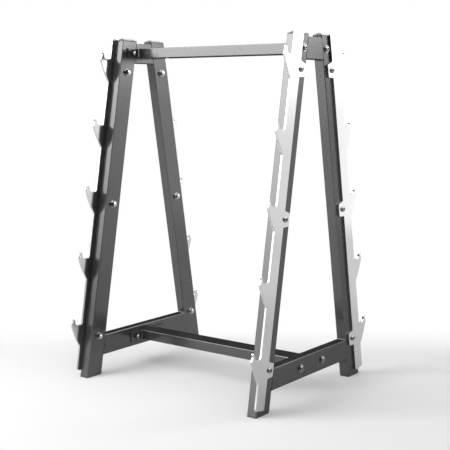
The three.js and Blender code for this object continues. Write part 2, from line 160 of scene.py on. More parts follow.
class RackFittingSizes(bpy.types.PropertyGroup):
    """Sizes of the bolts, nuts, caps and foot plugs."""

    bolt_radius: length("Bolt radius", "Radius of the bolts", 0.006)
    thread_pitch: length("Thread pitch", "Rise of the thread in one turn", 0.00175)
    head_radius: length("Head radius", "Radius of the domed bolt heads", 0.0105)
    head_height: length("Head height", "Height of the bolt heads", 0.0066)
    head_rim: length("Head rim", "Straight edge under the dome of a head", 0.0016)
    head_flat: length("Head flat", "Radius of the flat on top of a dome", 0.0055)
    socket_across: length("Socket", "Hexagonal socket across its flats", 0.008)
    socket_depth: length("Socket depth", "Depth of the hexagonal socket", 0.004)
    nut_across: length("Nut across flats", "Nuts across the flats", 0.019)
    nut_height: length("Nut height", "Height of the nuts", 0.010)
    stickout: length("Stick-out", "Thread that shows past a nut", 0.004)
    washer_radius: length("Washer radius", "Radius of the washers", 0.015)
    washer_thickness: length("Washer thickness", "Thickness of the washers", 0.003)
    plug_gap: length("Plug gap", "Gap round a plug in its tube", 0.0005)
    plug_depth: length("Plug depth", "How far a plug goes into its tube", 0.030)
    cap_rim: length("Cap rim", "Upright rim of a cap", 0.0025)
    cap_height: length("Cap height", "Height of a cap", 0.010)
    cap_inset: length("Cap inset", "How far the slopes of a cap run in", 0.013)
    cap_corner: length("Cap corner", "Corner radius of a cap's flat top", 0.002)
    foot_pad: length("Foot pad", "Rubber between a leg and the floor", 0.004)
    foot_bevel: length("Foot bevel", "Bevel of the foot pad", 0.001)


class RackFinishes(bpy.types.PropertyGroup):
    """Colours of the finishes, and the depth of their texture."""

    paint: colour("Frame paint", "Dark grey of the tubes", (0.117, 0.117, 0.117))
    hook_metal: colour("Hook metal", "Bright plated steel of the hook plates", (0.57, 0.57, 0.57))
    fastener: colour("Fasteners", "Dark plate of the bolt heads and washers", (0.24, 0.24, 0.24))
    zinc: colour("Nuts", "Bright zinc of the nuts and threads", (0.52, 0.52, 0.53))
    plastic: colour("Caps", "Black plastic of the caps", (0.012, 0.012, 0.013))
    rubber: colour("Feet", "Black rubber of the feet", (0.018, 0.018, 0.019))
    dust: colour("Dust", "Dust on the tubes", (0.32, 0.31, 0.30))
    foot_dust: colour("Foot dust", "Dust on the feet", (0.25, 0.24, 0.23))
    floor: colour("Floor", "Pale floor of the studio", (0.86, 0.86, 0.86))
    paint_swell: length("Paint swell", "Height of the swells in the paint", 0.00002)
    hook_lines: length("Rolling lines", "Height of the rolling lines in the hook plates", 0.00002)
    fastener_lines: length("Fastener lines", "Height of the drawn lines in bolts and nuts", 0.00003)
    plastic_grain: length("Cap grain", "Height of the moulded grain of the caps", 0.00005)
    rubber_grain: length("Foot grain", "Height of the moulded grain of the feet", 0.00008)
    dust_reach: length("Dust reach", "Height above the floor where the dust on the tubes ends", 0.3)
    foot_dust_reach: length("Foot dust reach", "Height where the dust on the feet ends", 0.02)


class RackStudio(bpy.types.PropertyGroup):
    """The camera, the lamp, the floor and the room's own light."""

    eye: spot("Camera", "Place of the camera", (2.3323, -3.0635, 1.1177))
    yaw: degrees("Yaw", "Turn of the camera to the left", 37)
    pitch: degrees("Pitch", "Downward tilt of the camera", 7.53)
    lens: amount("Lens", "Focal length in millimetres", 78.6)
    ambient: amount("Ambient", "Strength of the room's light", 0.42)
    softbox: spot("Top softbox", "Place of the lamp above the rack", (0.3, -0.6, 3.15))
    softbox_size: length("Softbox size", "Side of the lamp", 2.4)
    softbox_power: amount("Softbox power", "Power of the lamp in watts", 24)
    floor_reach: length("Floor reach", "Middle of the rack to the floor's edges", 14)
    floor_clouds: amount("Floor clouds", "Clouds in the floor's tone to the metre", 3)
    floor_far: pair("Floor far off", "Distances from the rack where it turns white", (1.2, 2.8))
    floor_behind: pair("Floor behind", "Distances behind the rack where it turns white", (0.2, 0.8))
    floor_haze: amount("Floor haze", "Share of white in the floor near the rack", 0.05)


class RackWalls(bpy.types.PropertyGroup):
    """The glowing walls that light the rack, and the panel, curtains and ceiling that it only mirrors.

    Places are X and Y on the floor plan. A glow of 1 is white.
    """

    front_start: pair("Front wall start", "Where the front wall starts", (-0.575, -2.85))
    front_foot: pair("Front wall end", "Where its foot ends and the left curtain starts", (-2.215, -2.271))
    front_crown: pair("Front wall crown", "Where its upper edge ends", (-2.65, -2.118))
    front_height: length("Front wall height", "Height of the front wall", 3.2)
    front_low: pair("Front wall, low", "Glow low down, at its right and left part", (1.15, 1.3))
    front_gain: pair("Front wall, gain", "Glow added at the top, right and left", (7.85, 11.8))
    front_edges: pair("Front wall, edges", "Places along X where its glow changes", (-2.0, -2.3))
    front_rise: amount("Front wall, rise", "Power with which its glow rises", 0.65)
    front_dusk: length("Front wall, dusk", "Height from which its glow rises", 0.4)
    left_foot: pair("Left curtain end", "Where the foot of the left curtain ends", (-3.3, -1.9))
    left_crown: pair("Left curtain crown", "Where its upper edge ends", (-3.6, -1.8))
    panel_start: pair("Low panel start", "Where the low panel starts", (-0.568, -2.831))
    panel_end: pair("Low panel end", "Where the low panel ends", (-1.3, -2.572))
    panel_height: length("Low panel height", "Height of the low panel", 0.55)
    panel_glow: amount("Low panel glow", "Glow at its foot", 3.2)
    panel_fade: amount("Low panel fade", "Glow lost on the way to its top", 1.3)
    back_start: pair("Back wall start", "Where the back wall starts", (1.2, 3.2))
    back_end: pair("Back wall end", "Where the back wall ends", (2.8, 2.0))
    back_foot: length("Back wall foot", "Height of its lower edge", 0.22)
    back_height: length("Back wall height", "Height of its upper edge", 1.9)
    back_low: pair("Back wall, low", "Glow low down, at its right and left part", (1.12, 1.68))
    back_gain: pair("Back wall, gain", "Glow added at the top, right and left", (22.0, 2.0))
    back_edges: pair("Back wall, edges", "Places along X where its glow changes", (2.13, 1.83))
    back_rise: amount("Back wall, rise", "Power with which its glow rises", 7)
    curtain_reach: length("Curtain reach", "Middle of the rack to the round curtains", 4.5)
    curtain_foot: length("Curtain foot", "Lower edge of the left and rear curtain", 0.3)
    curtain_height: length("Curtain height", "Upper edge of the round curtains", 6.4)
    front_curtain: pair("Front curtain", "Degrees round from the front to its two ends", (-10, 74))
    side_curtain: pair("Side curtain", "Degrees round from the front to its two ends", (74, 124))
    rear_curtain: pair("Rear curtain", "Degrees round from the front to its two ends", (190, 240))
    side_glow: amount("Side curtain glow", "Glow of the side curtain", 0.35)
    ceiling_glow: amount("Ceiling glow", "Glow of the ceiling", 4.8)
    ceiling_half: length("Ceiling half width", "Middle of the rack to the ceiling's sides", 3)
    front_ceiling: pair("Front ceiling", "Places along Y where it starts and ends", (-2.8, 0.5))
    rear_ceiling: pair("Rear ceiling", "Places along Y where it starts and ends", (1.7, 4.6))


# Shapes: an outline is an array of points, and a shell is one closed surface, (points, sides, ends)


def curve(start, control, end, steps=6):
    """Points on a quadratic curve from start to end, pulled towards the control point.

    With t from 0 to 1, a point is start * (1 - t)^2 + 2 * control * t * (1 - t) + end * t^2. Arrays
    of starts, controls and ends give one curve each.
    """
    t = np.linspace(0, 1, steps + 1)[:, None]
    start, control, end = (np.asarray(points, dtype=float)[..., None, :] for points in (start, control, end))
    return start * (1 - t) ** 2 + 2 * control * t * (1 - t) + end * t**2


def rounded_rectangle(width, height, radius, steps=6):
    """Outline of a rectangle with round corners, counter-clockwise.

    Each corner is a quarter circle about its own centre. One more point lies just past each end
    of the quarter, on the flat side, so that the flat sides shade flat.
    """
    rest = radius / 10
    turn = np.linspace(0, math.pi / 2, steps + 1)
    arc = radius * np.stack((np.cos(turn), np.sin(turn)), axis=1)
    corner = np.concatenate(([[radius, -rest]], arc, [[-rest, radius]]))
    x, y = width / 2 - radius, height / 2 - radius
    centres = np.array([[x, y], [-x, y], [-x, -y], [x, -y]])
    quarters = [corner, corner[:, ::-1] * (-1, 1), -corner, corner[:, ::-1] * (1, -1)]
    return np.concatenate([centre + quarter for centre, quarter in zip(centres, quarters)])


def towards(points, others, distance, most=0.4):
    """Points moved towards others by a distance, but by no more than the share most of the way."""
    way = others - points
    reach = np.linalg.norm(way, axis=1, keepdims=True)
    return points + way / reach * np.minimum(distance, most * reach)


def round_corners(outline, radius, steps=3):
    """Every corner becomes a quadratic curve between points up to radius away on its two edges."""
    starts, ends = (towards(outline, np.roll(outline, way, axis=0), radius) for way in (1, -1))
    return curve(starts, outline, ends, steps).reshape(-1, 2)


def inset(outline, distance):
    """The outline moved inward: each point goes along the mean of its two edges' inward normals."""
    edge = np.roll(outline, -1, axis=0) - outline
    edge /= np.linalg.norm(edge, axis=1, keepdims=True)
    normal = np.stack((-edge[:, 1], edge[:, 0]), axis=1)
    mean = normal + np.roll(normal, 1, axis=0)
    mean /= np.sum(mean * normal, axis=1, keepdims=True)
    return outline + distance * mean


def quads(rows, columns, wrap_rows=False):
    """Faces between neighbouring points of a grid whose columns run round in a ring."""
    row = np.arange(rows if wrap_rows else rows - 1)[:, None]
    column = np.arange(columns)[None, :]
    here, above = row * columns, (row + 1) % rows * columns
    beside = (column + 1) % columns
    corners = (here + column, here + beside, above + beside, above + column)
    return np.stack(np.broadcast_arrays(*corners), axis=-1).reshape(-1, 4)


def shell(rings, ring_closed=False):
    """A closed surface through rings of points, as (points, sides, ends).

    rings is an array of rings by points by 3. The sides are the four-cornered faces between
    neighbouring rings. The ends fill the first and the last ring, and there are none where
    ring_closed is true and these two are joined. The faces' volumes about the middle are added up,
    and where the sum is below zero, the faces point inward and are turned round.
    """
    rings = np.asarray(rings, dtype=float)
    rows, columns = rings.shape[:2]
    points = rings.reshape(-1, 3)
    sides = quads(rows, columns, ring_closed)
    ends = np.empty((0, columns), dtype=int)
    if not ring_closed:
        ring = np.arange(columns)
        ends = np.stack((ring[::-1], ring + (rows - 1) * columns))
    from_middle = points - points.mean(axis=0)
    first, second, third, fourth = (from_middle[sides[:, corner]] for corner in range(4))
    volume = np.sum(np.cross(first, second) * third) + np.sum(np.cross(first, third) * fourth)
    for fan in from_middle[ends]:
        volume += np.sum(np.cross(fan[0], fan[1:-1]) * fan[2:])
    if volume < 0:
        sides, ends = sides[:, ::-1], ends[:, ::-1]
    return points, sides, ends


def placed(shells, put):
    """The same shells with their points put in place by a function that keeps handedness."""
    return [(put(points), *faces) for points, *faces in shells]


def moved(shells, shift, sign=1):
    """Shells moved by a shift, after half a turn about their Z axis where sign is -1."""
    return placed(shells, lambda points: points * (sign, sign, 1) + shift)


def new_piece(name, shells, material, nodes=(), sharp=CUT_EDGE, bright=()):
    """One object from closed shells, at the origin, riding on the rack and standing for CAD nodes.

    Edges sharper than the angle sharp stay hard in shading. bright gives each shell the brightness
    of its plating, between zero and one.
    """
    points = [one[0] for one in shells]
    counts = [len(each) for each in points]
    faces = []
    for first, (_, sides, ends) in zip(np.cumsum([0] + counts), shells):
        faces += (sides + first).tolist() + (ends + first).tolist()
    mesh = bpy.data.meshes.new(name)
    mesh.from_pydata(np.concatenate(points).tolist(), [], faces)
    mesh.shade_smooth()
    mesh.set_sharp_from_angle(angle=sharp)
    mesh.materials.append(material)
    if bright:
        values = np.repeat(np.asarray(bright, dtype=np.float32), counts)
        mesh.attributes.new("Bright", "FLOAT", "POINT").data.foreach_set("value", values)
    piece = bpy.data.objects.new(name, mesh)
    bpy.context.scene.collection.objects.link(piece)
    if nodes:
        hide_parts(*nodes)
    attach(piece, "root")
    return piece


def dress(node, shells, material, **looks):
    """A new piece that stands for one CAD node and is named after it."""
    return new_piece(f"{node}_body", shells, material, [node], **looks)


class Rack:
    """The rack's sizes and places, worked out from the sidebar's values."""

    def __init__(self, context):
        self.frame = size = context.scene.rack_frame
        self.hook = hook = context.scene.rack_hook
        self.fitting = context.scene.rack_fitting
        self.lean = math.atan((size.foot_reach - size.top_reach) / size.height)
        self.slope = math.tan(self.lean)
        self.level_width = size.wide / math.cos(self.lean)
        self.leg_length = size.height / math.cos(self.lean)
        self.middle = (size.spread - size.narrow) / 2
        self.inside = size.spread / 2 - size.narrow
        self.corner = size.bore_corner + size.wall
        self.levels = {"low": size.low_axis, "top": size.height - size.top_drop}
        self.bolt_y = size.foot_reach - self.leg_middle(self.levels["top"]) - size.bolt_inset
        self.hook_levels = np.linspace(hook.low_hook, self.leg_length - hook.top_hook_drop, hook.hooks)
        self.tab_levels = self.hook_levels[::2] - hook.tab_drop
        self.legs = {side: [Leg(self, side, end) for end in ENDS] for side in SIDES}
        self.every_leg = [leg for legs in self.legs.values() for leg in legs]

    def leg_middle(self, height):
        """Middle of a leg at a height, measured level from the outer edge of its foot."""
        return height * self.slope + self.level_width / 2

    def tube_outlines(self):
        """Outer and inner outline of the rectangular tube, narrow side first."""
        size = self.frame
        outer = rounded_rectangle(size.narrow, size.wide, self.corner)
        inner = rounded_rectangle(size.narrow - 2 * size.wall, size.wide - 2 * size.wall, size.bore_corner)
        return outer, inner


class Leg:
    """One of the four legs. A rear leg is a front leg that is turned half round.

    A leg's own X points out of the A-frame where outward is 1, and into it where outward is -1.
    """

    def __init__(self, rack, side, end):
        self.rack = rack
        self.name = f"{end}_{side}"
        self.sign, self.turn = SIDES[side], ENDS[end]
        self.outward = self.sign * self.turn

    def at_foot(self, points):
        """Points given as X from the leg's middle, distance inward from the foot's edge, and height."""
        x, inward, z = np.moveaxis(points, -1, 0)
        y = inward - self.rack.frame.foot_reach
        return np.stack((self.turn * x + self.sign * self.rack.middle, self.turn * y, z), axis=-1)

    def along(self, points):
        """Points given as X from the leg's middle, across the leg from its outer edge, and along it."""
        x, across, up = np.moveaxis(points, -1, 0)
        sine, cosine = math.sin(self.rack.lean), math.cos(self.rack.lean)
        return self.at_foot(np.stack((x, up * sine + across * cosine, up * cosine - across * sine), axis=-1))


def open_tube(outlines, start, end, put):
    """An open tube: the outer outline runs from start to end, and the inner one back again.

    start and end are slanted cuts, given as (middle, slope): a point at v on the outline's long
    side is cut at middle + slope * v along the tube. put turns the two sides of the outline and
    the place along the tube into points in space.
    """
    outer, inner = outlines
    rings = []
    for outline, (middle, slope) in ((outer, start), (outer, end), (inner, end), (inner, start)):
        across, deep = outline.T
        rings.append(put(across, deep, middle + slope * deep))
    return shell(rings, ring_closed=True)


class RACK_OT_frame_tubes(bpy.types.Operator):
    """Build the leg tubes, cross tubes, spacers and beams"""

    bl_idname = "rack.frame_tubes"
    bl_label = "Frame tubes"

    def execute(self, context):
        rack = Rack(context)
        size, slope = rack.frame, rack.slope
        paint = finish(context, "frame_paint")
        outlines = rack.tube_outlines()

        leg_cuts = [
            (height / math.cos(rack.lean) + size.wide / 2 * slope, slope)
            for height in (rack.fitting.foot_pad + size.seat_gap, size.height)
        ]
        clear = rack.level_width + size.seat_gap / math.cos(rack.lean)
        for side, sign in SIDES.items():
            for leg in rack.legs[side]:
                def up_leg(across, deep, along):
                    """Along the leaning leg, with the tube's wide side across it."""
                    return leg.along(np.column_stack((across, deep + size.wide / 2, along)))

                name = f"leg_{leg.name}"
                new_piece(f"{name}_tube", [open_tube(outlines, *leg_cuts, up_leg)], paint, [name])
            for name, height in zip(("cross_tube", "top_spacer"), rack.levels.values()):
                def from_leg_to_leg(across, deep, along):
                    """Along Y, with the tube's wide side upright."""
                    return np.column_stack((across + sign * rack.middle, along, deep + height))

                half = size.foot_reach - height * slope - clear
                tube = open_tube(outlines, (-half, slope), (half, -slope), from_leg_to_leg)
                dress(f"{name}_{side}", [tube], paint)

        reach = rack.inside - size.end_thickness - 2 * size.seat_gap
        for level, height in rack.levels.items():
            def from_side_to_side(across, deep, along):
                """Along X, with the tube's wide side level."""
                return np.column_stack((along, deep, across + height))

            dress(f"{level}_beam", [open_tube(outlines, (-reach, 0), (reach, 0), from_side_to_side)], paint)
        return {"FINISHED"}


def rounded_plate(outline, thickness, edge, steps=3):
    """A flat plate along X from zero, with its cut edges rounded by a radius, edge.

    The outline shrinks by that radius towards each face, along a quarter circle. One more ring on
    either side of the quarter keeps the faces and the cut edge flat in shading.
    """
    turn = np.linspace(0, math.pi / 2, steps + 1)
    rest = edge * 1.4
    shrink = np.concatenate(([rest], edge * (1 - np.sin(turn)), [0]))
    depth = np.concatenate(([0], edge * (1 - np.cos(turn)), [rest]))
    shrink = np.concatenate((shrink, shrink[::-1]))
    depth = np.concatenate((depth, thickness - depth[::-1]))
    flat = [inset(outline, distance) for distance in shrink]
    return shell([np.column_stack((np.full(len(outline), x), ring)) for x, ring in zip(depth, flat)])


def polar(radius, x, sides):
    """A ring about the X axis: radius may be one number or one for each of the sides."""
    turn = np.arange(sides) * 2 * math.pi / sides
    return np.column_stack((np.broadcast_to(x, sides), radius * np.cos(turn), radius * np.sin(turn)))


def hexagon(across, sides):
    """Distance from the middle to a hexagon's edge: half its width over the cosine of the angle to a flat."""
    turn = np.arange(sides) * 2 * math.pi / sides
    off = (turn + math.pi / 6) % (math.pi / 3) - math.pi / 6
    return across / 2 / np.cos(off)


def button_head(fitting, sides=72):
    """A bolt head along X from zero: a straight rim, a dome and a hexagonal socket.

    The dome is a quadratic curve from the rim to the flat, turned about the axis. The socket is a
    hexagon whose floor runs down to a drill point.
    """
    radius, height, rim = fitting.head_radius, fitting.head_height, fitting.head_rim
    dome = curve((rim, radius), (height, radius), (height, fitting.head_flat), steps=12)
    socket = hexagon(fitting.socket_across, sides)
    lip = rim / 6
    floor = height - fitting.socket_depth
    rings = [polar(radius - lip, 0, sides), polar(radius, lip, sides)]
    rings += [polar(ring, x, sides) for x, ring in dome]
    rings += [
        polar(socket + lip, height, sides),
        polar(socket, height - lip, sides),
        polar(socket, floor, sides),
        polar(lip, floor - rim / 2, sides),
    ]
    return shell(rings)


def hex_nut(across, height, bore, sides=72):
    """A nut along X from zero: a hexagon with its corners cut at both faces, and a dished, bored middle.

    Where the hexagon stands out past the chamfer's circle, its corner falls away from the face by a
    share of how far it stands out.
    """
    circle_share, fall_share, dish_share = 0.96, 0.55, 0.12
    edge = hexagon(across, sides)
    chamfer = across / 2 * circle_share
    fall = fall_share * np.maximum(edge - chamfer, 0)
    dish = (across / 2 - bore) * dish_share
    profile = [
        (bore + dish, 0), (chamfer, 0), (edge, fall), (edge, height - fall),
        (chamfer, height), (bore + dish, height), (bore, height - dish), (bore, dish),
    ]
    return shell([polar(radius, x, sides) for radius, x in profile], ring_closed=True)


def washer(radius, bore, thickness, sides=64):
    """A washer along X from zero, with softly cut rims: one profile turned about the axis."""
    soft = thickness / 4
    profile = [
        (bore, soft), (bore + soft, 0), (radius - soft, 0), (radius, soft), (radius, thickness - soft),
        (radius - soft, thickness), (bore + soft, thickness), (bore, thickness - soft),
    ]
    return shell([polar(ring, x, sides) for ring, x in profile], ring_closed=True)


def threaded_end(radius, pitch, start, end, sides=36, rows_a_turn=8):
    """A threaded shank along X: the radius falls by half a pitch and rises again with each turn.

    The phase also turns once round the axis, which makes the ridges one helix, and the last turn
    fades into a chamfer.
    """
    rows = int((end - start) / pitch * rows_a_turn) + 2
    x = np.linspace(start, end, rows)[:, None]
    turn = np.arange(sides)[None, :] / sides
    phase = (x / pitch - turn) % 1
    groove = pitch / 2 * (1 - np.abs(2 * phase - 1))
    chamfer = np.maximum(x - (end - pitch), 0)
    r = np.minimum(radius - groove, radius - chamfer)
    angle = turn * 2 * math.pi
    rings = np.stack((np.broadcast_to(x, r.shape), r * np.cos(angle), r * np.sin(angle)), axis=-1)
    return shell(rings)


def bolt(fitting, grip, sides=36):
    """A bolt along X: its head from zero onward, and its shank for the length of grip the other way.

    The end of the shank is threaded, for the height of a nut.
    """
    thread_start, plain_radius = grip - fitting.nut_height, PLAIN_SHANK * fitting.bolt_radius
    plain = shell([polar(plain_radius, x, sides) for x in (0, thread_start)])
    thread = threaded_end(fitting.bolt_radius, fitting.thread_pitch, thread_start, grip, sides)
    return [button_head(fitting)] + moved([plain, thread], (0, 0, 0), -1)


class RACK_OT_end_plates(bpy.types.Operator):
    """Build the beams' end plates with their weld nuts"""

    bl_idname = "rack.end_plates"
    bl_label = "End plates"

    def execute(self, context):
        rack = Rack(context)
        size, fitting = rack.frame, rack.fitting
        paint = finish(context, "frame_paint")
        outline = rounded_rectangle(2 * (rack.bolt_y + size.end_margin), size.narrow, size.end_corner)
        sheet = rounded_plate(outline, size.end_thickness, size.end_thickness / 10)
        nut = hex_nut(fitting.nut_across, fitting.nut_height, fitting.bolt_radius)
        plate = [sheet]
        for y in (-rack.bolt_y, rack.bolt_y):
            plate += moved([nut], (size.end_thickness, y, 0))
        seat = rack.inside - size.seat_gap
        for (level, height), (side, sign) in product(rack.levels.items(), SIDES.items()):
            dress(f"{level}_end_plate_{side}", moved(plate, (sign * seat, 0, height), -sign), paint)
        return {"FINISHED"}


def weld_bead(run, leg, ripple, put, sides=24, rows_a_ripple=6):
    """A fillet weld along a straight corner, with the corner at zero in two directions.

    Round the corner, the bead's section is a square that stands on its point, with bulging sides.
    Along the run it swells and shrinks as a sine, once for each ripple, with the ripples bowed, and
    its ends close in a blunt curve. put turns run, first and second direction into points in space.
    """
    squareness, bow, swell, bluntness, end_share = 1.35, 0.3, 0.07, 14, 0.1
    rows = int(run / ripple * rows_a_ripple) + 2 * rows_a_ripple
    s = np.linspace(-1, 1, rows)[:, None]
    turn = np.arange(sides)[None, :] * 2 * math.pi / sides
    form = (np.abs(np.cos(turn)) ** squareness + np.abs(np.sin(turn)) ** squareness) ** (-1 / squareness)
    phase = s * run / 2 / ripple + bow * np.cos(2 * (turn - math.pi / 4))
    waves = 1 + swell * np.sin(2 * math.pi * phase)
    taper = np.sqrt(np.clip(1 - np.abs(s) ** bluntness, 0, 1)) * (1 - end_share) + end_share
    r = leg * form * waves * taper
    rings = np.stack((np.broadcast_to(s * run / 2, r.shape), r * np.cos(turn), r * np.sin(turn)), axis=-1)
    return shell(put(rings.reshape(-1, 3)).reshape(rings.shape))


class RACK_OT_welds(bpy.types.Operator):
    """Build the fillet welds of the cross tubes, spacers and beams"""

    bl_idname = "rack.welds"
    bl_label = "Welds"

    def execute(self, context):
        rack = Rack(context)
        size = rack.frame
        paint = finish(context, "frame_paint")
        bead = (size.narrow - 2 * rack.corner, size.weld_leg, size.weld_ripple)
        for side, sign in SIDES.items():
            beads = []
            for height, up, end in product(rack.levels.values(), (-1, 1), (-1, 1)):
                level = height + up * size.wide / 2
                edge = size.foot_reach - level * rack.slope - rack.level_width

                def by_leg(points):
                    """The corner at a leg: first runs level from its face, second up or down along it."""
                    along, first, second = points.T
                    y = end * (edge - first - up * second * rack.slope)
                    return np.column_stack((along + sign * rack.middle, y, level + up * second))

                beads.append(weld_bead(*bead, by_leg))
            new_piece(f"welds_{side}", beads, paint, sharp=WELD_EDGE)
        for name, height in rack.levels.items():
            beads = []
            for sign, front in product((-1, 1), (-1, 1)):
                def by_end_plate(points):
                    """The corner at an end plate: first runs along the beam, second along the plate."""
                    along, first, second = points.T
                    x = sign * (rack.inside - size.end_thickness - size.seat_gap - first)
                    return np.column_stack((x, front * (size.wide / 2 + second), height + along))

                beads.append(weld_bead(*bead, by_end_plate))
            new_piece(f"{name}_beam_welds", beads, paint, sharp=WELD_EDGE)
        return {"FINISHED"}


def one_hook(hook, front, cradle_steps=12):
    """One hook, with its shoulder's foot at height zero and the strip's outer edge at front.

    It is a curved underside, a shoulder, a finger with a curled tip, and a cradle that ends in a
    quarter circle at the strip.
    """
    inside = front - hook.cradle_width
    outside = inside - hook.finger
    shoulder = outside - hook.shoulder
    tip = outside - hook.tip_curl
    floor, root = hook.cradle_floor, hook.root_radius
    turn = np.linspace(-math.pi / 2, 0, cradle_steps + 1)
    quarter = hook.cradle_radius * np.column_stack((np.cos(turn) - 1, np.sin(turn) + 1))
    bulge = ((front + shoulder) / 2 - hook.belly, -hook.drop / 2 - hook.belly)
    return np.concatenate([
        curve((front, -hook.drop), bulge, (shoulder, 0), steps=12),
        [
            (shoulder, hook.shoulder_land),
            (outside, hook.shoulder_rise),
            (outside - hook.finger_splay / 2, hook.finger_bend),
            (tip, hook.finger_height - hook.tip),
            (tip + hook.tip / 2, hook.finger_height),
            (inside - hook.finger_splay, hook.finger_height - hook.tip),
        ],
        curve((inside, floor + root), (inside, floor), (inside + root, floor)),
        quarter + (front, floor),
    ])


def one_tab(hook, back, edge):
    """One bolt tab, about height zero, from the strip's inner edge at back out to its free edge.

    It is a block with sloped ends and round corners.
    """
    root, half, corner = hook.tab_root / 2, hook.tab_edge / 2, hook.tab_corner
    return np.concatenate([
        [(back, root)],
        curve((edge - corner, half), (edge, half), (edge, half - corner)),
        curve((edge, corner - half), (edge, -half), (edge - corner, -half)),
        [(back, -root)],
    ])


def hook_outline(rack):
    """Outline of a hook plate in the leg's frame: up the outer edge with its hooks, down with the tabs.

    Its corners are rounded. It is clockwise seen from the front leg's right side.
    """
    hook, size = rack.hook, rack.frame
    front, back = -hook.overhang, hook.width - hook.overhang
    top, low, end = size.height + hook.rise, hook.start, hook.end_corner
    hooks = [one_hook(hook, front) + (0, level) for level in rack.hook_levels]
    tab = one_tab(hook, back, size.wide / 2 + hook.tab_margin)
    tabs = [tab + (0, level) for level in rack.tab_levels[::-1]]
    upper_end = [(x, (top + x * math.sin(rack.lean)) / math.cos(rack.lean)) for x in (front, back)]
    lower_front = curve((front + end, low), (front, low), (front, low + end))
    lower_back = curve((back, low + end), (back, low), (back - end, low))
    outline = np.concatenate([lower_front, *hooks, upper_end, *tabs, lower_back])
    return round_corners(outline, hook.corner_round)


class RACK_OT_hook_plates(bpy.types.Operator):
    """Build the four hook plates"""

    bl_idname = "rack.hook_plates"
    bl_label = "Hook plates"

    def execute(self, context):
        rack = Rack(context)
        hook = rack.hook
        metal = finish(context, "hook_metal")
        plate = rounded_plate(hook_outline(rack)[::-1], hook.thickness, hook.edge_round)
        seat = rack.frame.narrow / 2 + rack.frame.seat_gap
        for leg in rack.every_leg:
            x = seat if leg.outward > 0 else -seat - hook.thickness
            dress(f"hook_plate_{leg.name}", placed(moved([plate], (x, 0, 0)), leg.along), metal)
        return {"FINISHED"}


def leg_ring(rack, height, over, shrink, corner):
    """A level ring as large as the leg, less shrink all round, about the leg's middle at the height over."""
    x, y = rounded_rectangle(rack.frame.narrow - 2 * shrink, rack.level_width - 2 * shrink, corner, steps=5).T
    return np.column_stack((x, y + rack.leg_middle(over), np.full(len(x), height)))


def insert_ring(rack, height, over):
    """A level ring of the block inside the leg tube, about the leg's middle at the height over."""
    size = rack.frame
    gaps = 2 * (size.wall + rack.fitting.plug_gap)
    long_side = (size.wide - gaps) / math.cos(rack.lean)
    x, y = rounded_rectangle(size.narrow - gaps, long_side, size.bore_corner, steps=5).T
    return np.column_stack((x, y + rack.leg_middle(over), np.full(len(x), height)))


def cap(rack):
    """A cap: its insert, its rim with soft edges, and its slopes up to the flat top."""
    fitting, corner, slope = rack.fitting, rack.corner, rack.fitting.cap_inset
    soft = fitting.cap_rim / 5
    top = rack.frame.height
    seat, bottom = top + rack.frame.seat_gap, top - fitting.plug_depth
    rim, crown = seat + fitting.cap_rim, seat + fitting.cap_height
    levels = [
        (seat, soft, corner - soft),
        (seat + soft, 0, corner),
        (rim - soft, 0, corner),
        (rim + soft / 3, soft, corner - soft),
        (crown - soft, slope - soft, fitting.cap_corner + soft),
        (crown, slope + soft, fitting.cap_corner),
    ]
    insert = [insert_ring(rack, bottom, bottom), insert_ring(rack, seat, top)]
    return shell(insert + [leg_ring(rack, height, top, shrink, turn) for height, shrink, turn in levels])


def foot_plug(rack):
    """A foot plug: its bevelled pad on the floor, and its insert."""
    low, bevel = rack.fitting.foot_pad, rack.fitting.foot_bevel
    levels = [(0, bevel * 1.5), (0, bevel), (bevel / 3, bevel / 3), (bevel, 0), (low, 0)]
    pad = [leg_ring(rack, height, 0, shrink, rack.corner - shrink) for height, shrink in levels]
    return shell(pad + [insert_ring(rack, height, height) for height in (low, low + rack.fitting.plug_depth)])


class RACK_OT_caps_and_feet(bpy.types.Operator):
    """Build the caps on the legs and the plugs in their feet"""

    bl_idname = "rack.caps_and_feet"
    bl_label = "Caps and feet"

    def execute(self, context):
        rack = Rack(context)
        top, bottom = [cap(rack)], [foot_plug(rack)]
        plastic, rubber = finish(context, "cap_plastic"), finish(context, "foot_rubber")
        for leg in rack.every_leg:
            dress(f"top_cap_{leg.name}", placed(top, leg.at_foot), plastic, sharp=MOULDED_EDGE)
            dress(f"foot_plug_{leg.name}", placed(bottom, leg.at_foot), rubber, sharp=MOULDED_EDGE)
        return {"FINISHED"}


